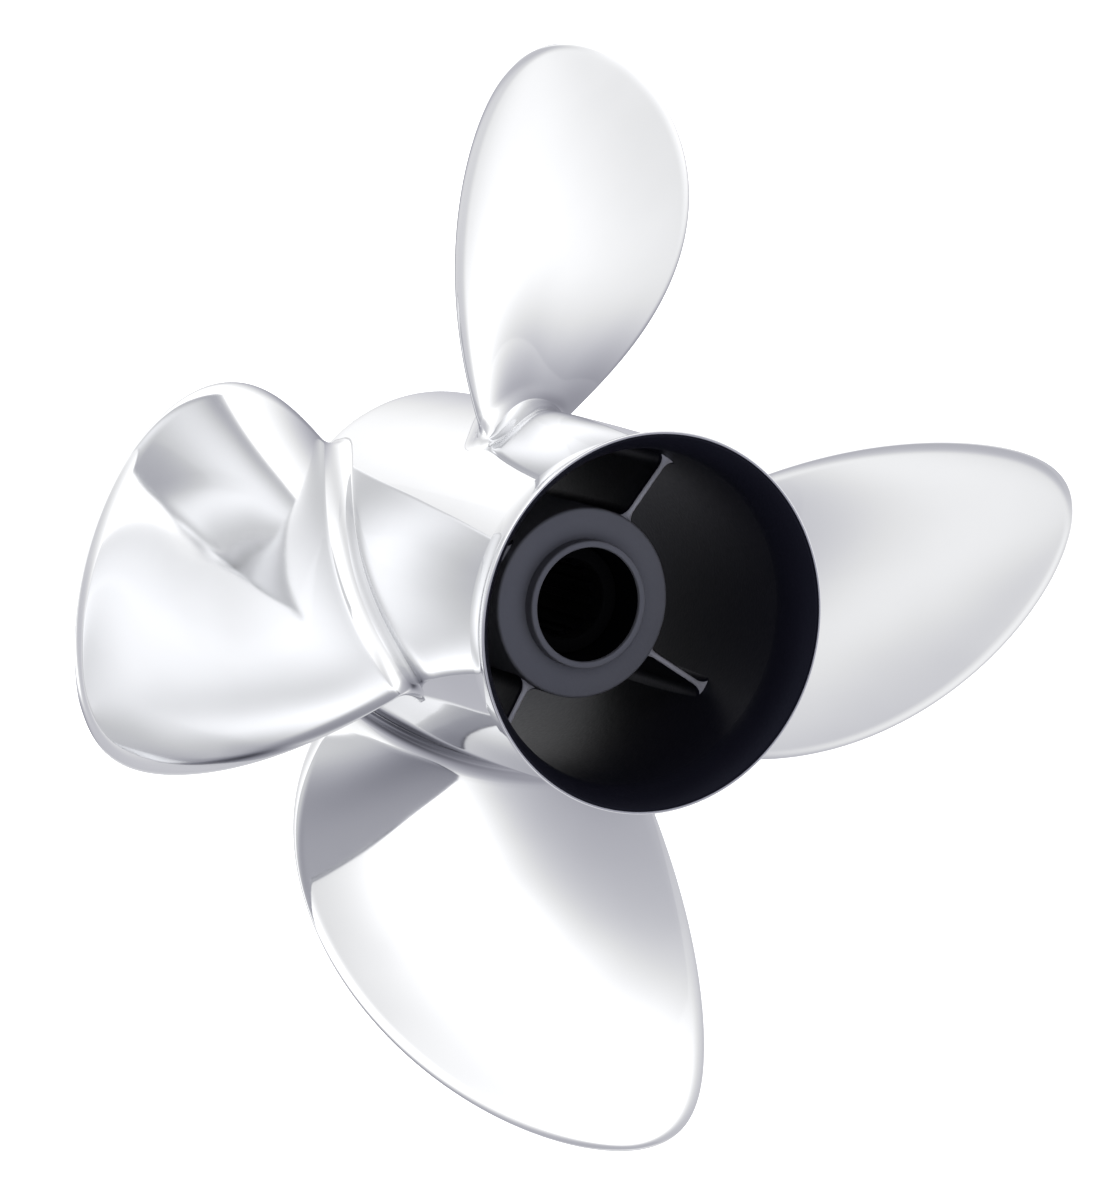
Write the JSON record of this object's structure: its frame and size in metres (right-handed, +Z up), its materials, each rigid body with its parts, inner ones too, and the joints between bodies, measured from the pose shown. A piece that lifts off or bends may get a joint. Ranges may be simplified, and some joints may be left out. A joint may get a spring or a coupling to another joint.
{
  "type": "boat propeller",
  "caption": "Right-hand stainless boat propeller with raked blades, a through-hub exhaust barrel with ribs, and a rubber-bushed splined hub.",
  "frame": {"origin": "on the shaft line, halfway along the hub", "axes": "+Y along the shaft line, forward towards the gearcase, so the flared exhaust end faces -Y; +Z up; +X to the right as seen from aft"},
  "size_m": [0.3544, 0.152, 0.3544],
  "materials": {
    "polished_stainless": "mirror-polished cast stainless steel",
    "grey_hub_paint": "matt dark grey paint on cast stainless steel",
    "black_exhaust_paint": "satin black paint on cast stainless steel",
    "bushing_rubber": "moulded black rubber",
    "sleeve_brass": "machined brass",
    "turned_steel": "turned stainless steel",
    "black_nylon": "moulded black glass-filled nylon"
  },
  "bodies": {
    "shaft_core": {"spline_sleeve": "sleeve_brass", "thrust_washer": "turned_steel", "rear_spacer": "black_nylon"},
    "bushing": {"rubber_bushing": "bushing_rubber"},
    "propeller": {"exhaust_barrel": "polished_stainless", "flare_ring": "polished_stainless", "inner_hub": "grey_hub_paint", "rib_1": "black_exhaust_paint", "rib_2": "black_exhaust_paint", "rib_3": "black_exhaust_paint", "rib_4": "black_exhaust_paint", "blade_1": "polished_stainless", "blade_2": "polished_stainless", "blade_3": "polished_stainless", "blade_4": "polished_stainless", "bushing_retainer": "grey_hub_paint"}
  },
  "joints": [
    {"name": "bushing_twist", "type": "hinge", "parent": "shaft_core", "child": "bushing", "pos_m": [0, 0.02, 0], "axis": [0, 1, 0], "range_deg": [-12, 12], "stiffness_Nm_per_rad": 150},
    {"name": "propeller_spin", "type": "hinge", "parent": "bushing", "child": "propeller", "pos_m": [0, 0, 0], "axis": [0, 1, 0], "continuous": true}
  ]
}
